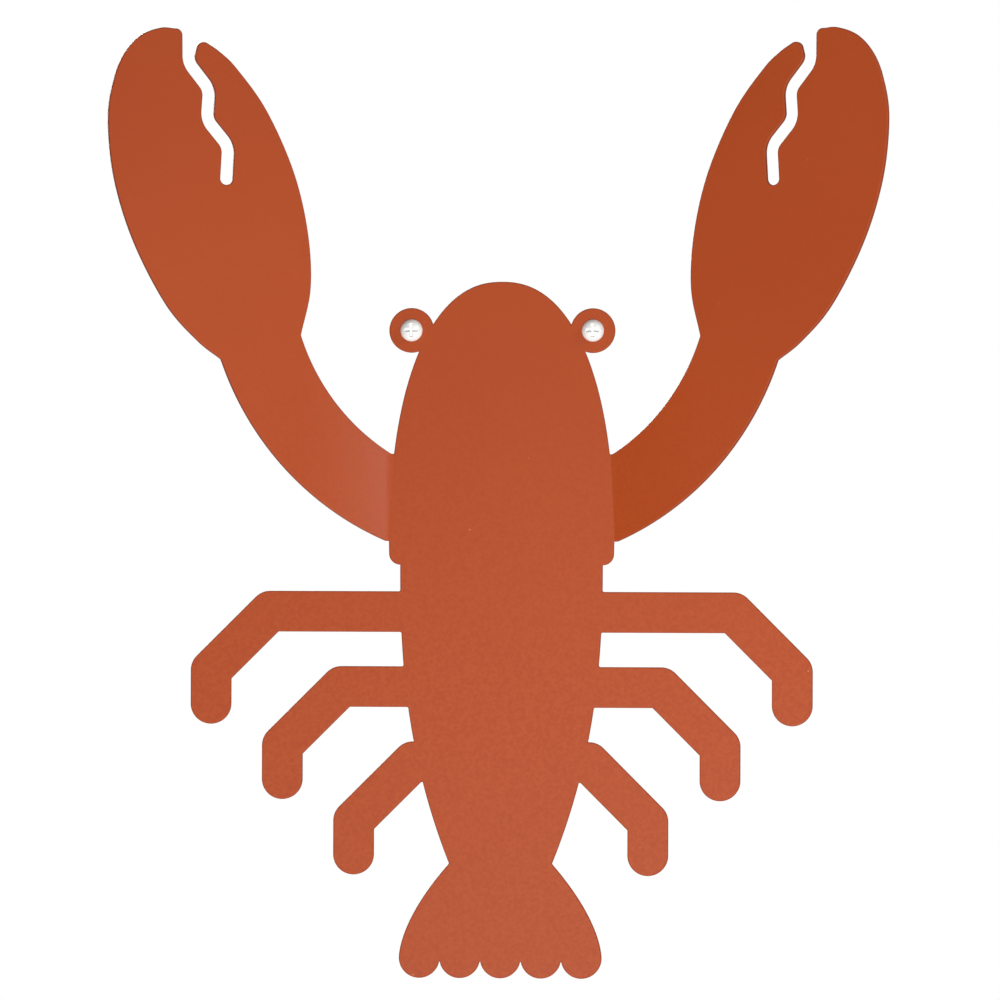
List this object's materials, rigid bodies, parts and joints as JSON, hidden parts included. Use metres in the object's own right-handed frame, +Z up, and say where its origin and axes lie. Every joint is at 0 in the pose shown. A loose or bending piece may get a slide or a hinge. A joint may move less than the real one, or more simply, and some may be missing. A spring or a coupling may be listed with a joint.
{
  "type": "wall hook",
  "caption": "Lobster-shaped wall hook of folded painted sheet steel, screwed to the wall through its eyes, with its screws and wall plugs; things hang on the raised arms.",
  "frame": {"origin": "midway between the two eye holes, in the wall plane, which is the back face of the hook", "axes": "+Z up along the lobster's body, +Y into the wall along the screws, +X to the viewer's right as one faces the hook"},
  "size_m": [0.1942, 0.054, 0.2369],
  "materials": {
    "powder_coat": "matt terracotta powder coat with a fine grain",
    "white_lacquer": "white lacquered screw head",
    "zinc_steel": "bright zinc plating",
    "white_nylon": "natural white nylon"
  },
  "bodies": {
    "hook": {"hook_plate": "powder_coat", "left_wall_plug": "white_nylon", "right_wall_plug": "white_nylon"},
    "left_screw": {"left_screw": "zinc_steel"},
    "right_screw": {"right_screw": "zinc_steel"}
  },
  "joints": [
    {"name": "left_screw_out", "type": "slide", "parent": "hook", "child": "left_screw", "axis": [0, -1, 0], "range_m": [0, 0.031]},
    {"name": "right_screw_out", "type": "slide", "parent": "hook", "child": "right_screw", "axis": [0, -1, 0], "range_m": [0, 0.031]}
  ]
}
